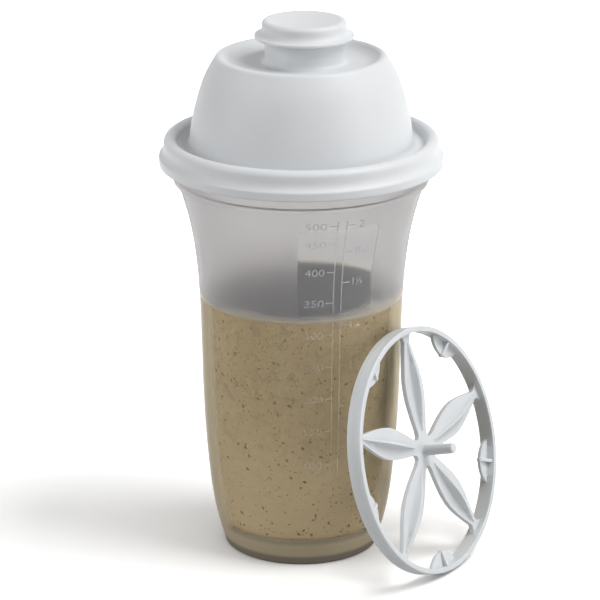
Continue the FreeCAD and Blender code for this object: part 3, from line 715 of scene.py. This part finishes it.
def tickTree():
    tree, given, out = newTree("scaleTicks", (("Length", "Float"), ("Line", "Float"), ("Depth", "Float"),
                                              ("Material", "Material")))
    size = addNode(tree, "ShaderNodeCombineXYZ")
    for axis, label in zip("XYZ", ("Length", "Line", "Depth")):
        tree.links.new(given[label], size.inputs[axis])
    bar = addNode(tree, "GeometryNodeMeshCube")
    tree.links.new(size.outputs[0], bar.inputs["Size"])
    dots = addNode(tree, "GeometryNodeMeshToPoints")
    place = addNode(tree, "GeometryNodeInstanceOnPoints")
    tree.links.new(given["Geometry"], dots.inputs["Mesh"])
    tree.links.new(dots.outputs[0], place.inputs["Points"])
    tree.links.new(bar.outputs[0], place.inputs["Instance"])
    endTree(tree, place.outputs[0], given, out)
    return tree


def tickMesh(tree, name, heights, angles):
    start, end = (alongWall(a) for a in angles)
    middle = (scale["relief"] - scale["sunk"]) / 2
    base = bpy.data.meshes.new(name)
    base.from_pydata([((start + end) / 2, z, middle) for z in heights], [], [])
    return grow(name, base, tree, {"Length": end - start, "Line": scale["line"],
                                   "Depth": scale["relief"] + scale["sunk"], "Material": markFinish})


def lineMesh(angle):
    half, bottom, steps = scale["line"] / 2, scale["lineBottom"], scale["lineSteps"]
    left, right = alongWall(angle) - half, alongWall(angle) + half
    points, faces = [], []
    for step in range(steps + 1):
        z = bottom + (scale["lineTop"] - bottom) * step / steps
        points += [(left, z, -scale["sunk"]), (right, z, -scale["sunk"]),
                   (right, z, scale["relief"]), (left, z, scale["relief"])]
    for a in range(0, 4 * steps, 4):
        faces += [(a + i, a + (i + 1) % 4, a + 4 + (i + 1) % 4, a + 4 + i) for i in range(4)]
    faces += [(0, 1, 2, 3), tuple(4 * steps + i for i in (3, 2, 1, 0))]
    mesh = bpy.data.meshes.new("scaleLine")
    mesh.from_pydata(points, [], faces)
    mesh.materials.append(markFinish)
    return mesh


def numberMesh(word, x, y, width, height, alignRight):
    text = bpy.data.curves.new("number", "FONT")
    text.body = word
    text.extrude = 0.5  # each way, which makes a depth of 1 to scale below
    mesh = plainMesh(addObject("number", text))
    xs = [v.co.x for v in mesh.vertices]
    ys = [v.co.y for v in mesh.vertices]
    across = width / (max(xs) - min(xs))
    up = height / (max(ys) - min(ys))
    anchor = max(xs) if alignRight else min(xs)
    level = (min(ys) + max(ys)) / 2
    deep, middle = scale["relief"] + scale["sunk"], (scale["relief"] - scale["sunk"]) / 2
    for vertex in mesh.vertices:
        vertex.co = (x + (vertex.co.x - anchor) * across, y + (vertex.co.y - level) * up,
                     vertex.co.z * deep + middle)
    mesh.materials.clear()
    mesh.materials.append(markFinish)
    return mesh


def joinMeshes(name, meshes):
    whole = bmesh.new()
    for mesh in meshes:
        whole.from_mesh(mesh)
    joined = bpy.data.meshes.new(name)
    whole.to_mesh(joined)
    whole.free()
    joined.materials.append(markFinish)
    return joined


def buildScale():
    tree = tickTree()
    ticks = []
    for name, marks, angles in (("millilitreTicks", scale["millilitres"], scale["tickAngles"][0]),
                                ("cupTicks", scale["cups"], scale["tickAngles"][1])):
        ticks.append(tickMesh(tree, name, [z for word, z in marks], angles))
    for angle in scale["lineAngles"]:
        ticks.append(lineMesh(angle))
    numbers = []
    for amount, z in scale["millilitres"]:
        numbers.append(numberMesh(str(amount), alongWall(scale["numberEnd"]), z,
                                  scale["numberWidth"], scale["numberHeight"], alignRight=True))
    for word, z in scale["cups"]:
        wide = scale["cupNumberWidth"] * scale["shares"].get(word, len(word) * scale["signShare"])
        numbers.append(numberMesh(word, alongWall(scale["cupNumberStart"]), z,
                                  wide, scale["cupNumberHeight"], alignRight=False))
    for name, parts in (("scaleTicks", ticks), ("scaleNumbers", numbers)):
        mesh = joinMeshes(name, parts)
        wrapOnWall(mesh)
        piece = addObject(name, mesh)
        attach(piece, "cup_body")


# herbs that show at the side of the dressing
herbs = {
    "kinds": {  # name: how many in a square metre, length, smallest, largest, seed
        "leaves": (24000, 0.80, 0.30, 1.1, 4),
        "specks": (110000, 0.36, 0.4, 1.2, 9),
    },
    "narrow": 0.62, "flat": 0.08, "rounding": 2, "topGap": 1, "around": 192,
}


def herbTree():
    tree, given, out = newTree("herbs", (("Density", "Float"), ("Size", "Float"), ("Smallest", "Float"),
                                         ("Largest", "Float"), ("Seed", "Int"), ("Material", "Material")))
    scatter = addNode(tree, "GeometryNodeDistributePointsOnFaces")
    tree.links.new(given["Geometry"], scatter.inputs["Mesh"])
    tree.links.new(given["Density"], scatter.inputs["Density"])
    tree.links.new(given["Seed"], scatter.inputs["Seed"])
    grain = addNode(tree, "GeometryNodeMeshIcoSphere")
    grain.inputs["Subdivisions"].default_value = herbs["rounding"]
    tree.links.new(given["Size"], grain.inputs["Radius"])
    flat = addNode(tree, "GeometryNodeTransform")
    flat.inputs["Scale"].default_value = (1, herbs["narrow"], herbs["flat"])
    tree.links.new(grain.outputs["Mesh"], flat.inputs["Geometry"])
    # each fleck has a size of its own and lies turned its own way
    vary = addNode(tree, "FunctionNodeRandomValue", data_type="FLOAT")
    tree.links.new(given["Smallest"], vary.inputs[2])
    tree.links.new(given["Largest"], vary.inputs[3])
    tree.links.new(given["Seed"], vary.inputs["Seed"])
    spin = addNode(tree, "FunctionNodeRandomValue", data_type="FLOAT")
    spin.inputs[3].default_value = fullTurn
    tree.links.new(given["Seed"], spin.inputs["Seed"])
    turn = addNode(tree, "FunctionNodeRotateRotation", rotation_space="LOCAL")
    about = addNode(tree, "FunctionNodeAxisAngleToRotation")
    tree.links.new(spin.outputs[1], about.inputs["Angle"])
    tree.links.new(scatter.outputs["Rotation"], turn.inputs[0])
    tree.links.new(about.outputs[0], turn.inputs[1])
    place = addNode(tree, "GeometryNodeInstanceOnPoints")
    tree.links.new(scatter.outputs["Points"], place.inputs["Points"])
    tree.links.new(flat.outputs[0], place.inputs["Instance"])
    tree.links.new(turn.outputs[0], place.inputs["Rotation"])
    tree.links.new(vary.outputs[1], place.inputs["Scale"])
    endTree(tree, place.outputs[0], given, out)
    return tree


def dressingSide(name):
    # the side of the dressing as an open tube for the herbs to lie on
    inner = wallInside(cup["wall"] + dressing["gap"])
    path = [inner[0]]
    curveTo(path, inner[1:], steps=10)
    side = [p for p in path if p[1] < fillLevel - herbs["topGap"]]
    around = herbs["around"]
    points, faces = [], []
    for r, z in side:
        for i in range(around):
            turn = fullTurn * i / around
            points.append((r * math.cos(turn) * mm, r * math.sin(turn) * mm, z * mm))
    for a in range(0, (len(side) - 1) * around, around):
        for i in range(around):
            following = (i + 1) % around
            faces.append((a + i, a + following, a + around + following, a + around + i))
    mesh = bpy.data.meshes.new(name)
    mesh.from_pydata(points, [], faces)
    return mesh


def buildHerbs():
    tree = herbTree()
    for name, (density, length, smallest, largest, seed) in herbs["kinds"].items():
        mesh = grow(name, dressingSide(name), tree, {"Density": density, "Size": length * mm,
                                                     "Smallest": smallest, "Largest": largest,
                                                     "Seed": seed, "Material": herbFinish})
        mesh.name = "herb" + name.capitalize()
        smoothMesh(mesh)
        piece = addObject(mesh.name, mesh)
        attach(piece, "cup_body")


buildScale()
buildHerbs()
print("scale and herbs ready")


# the lid, moulded in one with its neck
lid = {
    "clearance": 0.35, "wall": 1.4, "roof": 1.9, "beadInnerWall": 1.2, "overhang": 1.79,
    "lipHeight": 2.7, "lipRound": 0.7, "shoulderOut": 1.44, "shoulderRise": 0.84, "shoulderRound": 1.05,
    "flareHeight": 3.0, "flareRound": 3.9, "skirtDrop": 8.5, "mouth": 1.55, "mouthHeight": 2.5,
    "plugDrop": 7.6, "plugWall": 1.2, "gutterDrop": 1.7, "gutterWidth": 4.55, "gutterRound": 2.4,
    "dome": ((1.2, 0.3036, 0.15), (3.14, 0.5417, 0.3), (5.95, 0.7798, 0.47)),  # step in, share up, slope
    "crestStep": 11.25, "crestTop": 187.4, "crestRound": 2.0,
    "toDish": (-0.669, 0.743), "toDome": (0.825, 0.565),
    "dishStep": 7.05, "dishDepth": 2.7, "dishRound": 8.5,
    "spoutShift": 1.05, "spout": 14.35, "spoutWall": 1.45, "spoutTop": 198.6, "spoutFillet": 1.8,
    "spoutRound": 0.5, "neckMargin": 1, "edges": 0.2, "segments": 224,
}


def lidShell(dish):
    # from the dish's underside round the lip and back to the dish's top
    gap, wall, roof = lid["clearance"], lid["wall"], cup["rimTop"]
    rimOuter = cup["collar"] + cup["rimFlare"]
    skirtInner = rimOuter + gap
    beadOuter = skirtInner + wall
    channelInner = rimOuter - cup["rimWall"] - gap
    beadInner = channelInner - lid["beadInnerWall"]
    beadRound = (beadOuter - beadInner) / 2
    beadTop = roof + lid["roof"]
    beadSide = beadTop - beadRound
    skirtBottom = roof - lid["skirtDrop"]
    lip = beadOuter + lid["overhang"]
    lipTop = skirtBottom + lid["lipHeight"]
    flareFoot = lipTop + lid["shoulderRise"]
    plugOuter = cup["collar"] - cup["collarWall"] - gap
    plugInner = plugOuter - lid["plugWall"]
    plugBottom = roof - lid["plugDrop"]
    gutter = roof - lid["gutterDrop"]
    gutterRound = lid["gutterRound"]
    domeFoot = beadInner - lid["gutterWidth"]
    gutterInner = domeFoot + gutterRound
    gutterOuter = beadInner - (beadSide - gutter)
    crest, crestTop, crestRound = domeFoot - lid["crestStep"], lid["crestTop"], lid["crestRound"]
    dishEdge = crest - lid["dishStep"]
    inner = crestRound - wall

    def dome(inset):
        return [(domeFoot - step - inset * (1 - slope ** 2 / 2),
                 gutter + (crestTop - gutter) * share - inset * slope) for step, share, slope in lid["dome"]]

    def crestEnd(radius, way):
        return crest + radius * way[0], crestTop - crestRound + radius * way[1]

    path = [(dishEdge, dish - wall)]
    arcTo(path, *crestEnd(inner, lid["toDish"]), lid["dishRound"] + wall, left=True, steps=10)
    arcTo(path, *crestEnd(inner, lid["toDome"]), inner, left=False, steps=5)
    curveTo(path, dome(wall)[::-1] + [(domeFoot - wall, gutter + gutterRound)])
    arcTo(path, gutterInner, gutter - wall, gutterRound + wall, left=True)
    path += [(plugInner, gutter - wall), (plugInner, plugBottom), (plugOuter, plugBottom),
             (plugOuter, cup["collarTop"] + cup["rimRound"]),
             (channelInner, cup["flareTop"] + cup["rimRound"]), (channelInner, roof),
             (skirtInner, roof), (skirtInner, skirtBottom + lid["mouthHeight"]),
             (skirtInner + lid["mouth"], skirtBottom), (lip - lid["lipRound"], skirtBottom)]
    arcTo(path, lip, skirtBottom + lid["lipRound"], lid["lipRound"], left=True, steps=6)
    path.append((lip, lipTop))
    arcTo(path, beadOuter + lid["shoulderOut"], flareFoot, lid["shoulderRound"], left=True, steps=6)
    arcTo(path, beadOuter, flareFoot + lid["flareHeight"], lid["flareRound"], left=False)
    path.append((beadOuter, beadSide))
    arcTo(path, beadInner + beadRound, beadTop, beadRound, left=True, steps=10)
    arcTo(path, beadInner, beadSide, beadRound, left=True, steps=10)
    arcTo(path, gutterOuter, gutter, beadSide - gutter, left=False, steps=6)
    path.append((gutterInner, gutter))
    arcTo(path, domeFoot, gutter + gutterRound, gutterRound, left=False)
    curveTo(path, dome(0) + [crestEnd(crestRound, lid["toDome"])])
    arcTo(path, *crestEnd(crestRound, lid["toDish"]), crestRound, left=True)
    arcTo(path, dishEdge, dish, lid["dishRound"], left=False, steps=10)
    return path


def lidNeck(dish):
    # the bore runs down through the dish
    outer, top, edge, fillet = lid["spout"], lid["spoutTop"], lid["spoutRound"], lid["spoutFillet"]
    bore = outer - lid["spoutWall"]
    neck = [(outer + fillet, dish)]
    arcTo(neck, outer, dish + fillet, fillet, left=False)
    neck.append((outer, top - edge))
    arcTo(neck, outer - edge, top, edge, left=True, steps=5)
    return neck + [(bore, top), (bore, dish - lid["wall"])]


def buildLid():
    dish = lid["crestTop"] - lid["dishDepth"]
    shell, neck = lidShell(dish), lidNeck(dish)
    # the neck stands on an axis of its own, and the points of a rounding take that of the part they are in
    shift = lid["spoutShift"]
    axes = {(round(r, 6), round(z, 6)): x for path, x in ((shell, 0), (neck, shift)) for r, z in path}
    neckReach = lid["spout"] + lid["spoutFillet"] + tiny
    neckFoot = dish - lid["wall"] - lid["neckMargin"]
    section = []
    for r, z in softenCorners(shell + neck, lid["edges"]):
        nearest = shift if r < neckReach and z > neckFoot else 0
        section.append((r, z, axes.get((round(r, 6), round(z, 6)), nearest)))
    piece = turnSection("lidShell", section, lidPlastic, lid["segments"])
    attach(piece, "lid_body")
    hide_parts("lid")


buildLid()
print("lid ready")


# the spout cap, pressed over the neck, with a plug for the bore
cap = {
    "clearance": 0.3, "wall": 0.75, "top": 200.3, "round": 1.7, "roll": 2.72, "rollDrop": 0.204,
    "bowlDepth": 2.5, "bowlRound": 37, "roof": 1.3, "roofRise": 1.875, "roofRound": 34,
    "overhang": 2.65, "flangeDrop": 5.0, "flangeHeight": 3.8, "flangeRound": 2.9, "flangeEdge": 1.2,
    "land": 1.92, "tip": 0.6, "plugWall": 1.1, "plugHeight": 3.9, "edges": 0.15, "segments": 160,
}


def buildCap():
    seat, top = lid["spoutTop"], cap["top"]
    inner = lid["spout"] + cap["clearance"]
    outer = inner + cap["wall"]
    flange = outer + cap["overhang"]
    flangeBottom = seat - cap["flangeDrop"]
    flangeTop = flangeBottom + cap["flangeHeight"]
    edge, tip, rounding = cap["flangeEdge"], cap["tip"], cap["round"]
    plugOuter = lid["spout"] - lid["spoutWall"] - cap["clearance"]
    plugInner = plugOuter - cap["plugWall"]
    plugBottom = seat - cap["plugHeight"]
    bowl = top - cap["bowlDepth"]
    ceiling = bowl - cap["roof"]
    # from the middle of the underside round the flange to the middle of the bowl
    path = [(0, ceiling)]
    arcTo(path, plugInner, ceiling + cap["roofRise"], cap["roofRound"], left=True, steps=12)
    path += [(plugInner, plugBottom), (plugOuter, plugBottom), (plugOuter, seat),
             (inner, seat), (inner, flangeTop - edge)]
    arcTo(path, flange - cap["land"], flangeBottom, cap["flangeRound"] + edge, left=True)
    path.append((flange - tip, flangeBottom))
    arcTo(path, flange, flangeBottom + tip, tip, left=True, steps=5)
    path.append((flange, flangeBottom + edge))
    arcTo(path, outer, flangeTop, cap["flangeRound"], left=False)
    path.append((outer, top - rounding))
    arcTo(path, outer - rounding, top, rounding, left=True)
    arcTo(path, outer - cap["roll"], top - cap["rollDrop"], cap["roll"], left=True, steps=5)
    arcTo(path, 0, bowl, cap["bowlRound"], left=False, steps=14)
    section = [(r, z, lid["spoutShift"]) for r, z in softenCorners(path, cap["edges"])]
    piece = turnSection("capShell", section, lidPlastic, cap["segments"])
    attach(piece, "cap_body")
    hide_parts("spout_cap")


buildCap()
print("cap ready")


# the mixing wheel
wheel = {"merge": 0.002, "sharp": 11}


def buildWheel():
    # the wheel's own solid, smoothed between its ribs and edges
    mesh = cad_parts["mixing_wheel"].data.copy()
    mesh.materials.clear()
    mesh.materials.append(wheelPlastic)
    finishMesh(mesh, wheel["sharp"], wheel["merge"] * mm, outwards=False)
    piece = addObject("wheelShell", mesh)
    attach(piece, "wheel_body")
    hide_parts("mixing_wheel")


buildWheel()
print("wheel ready")
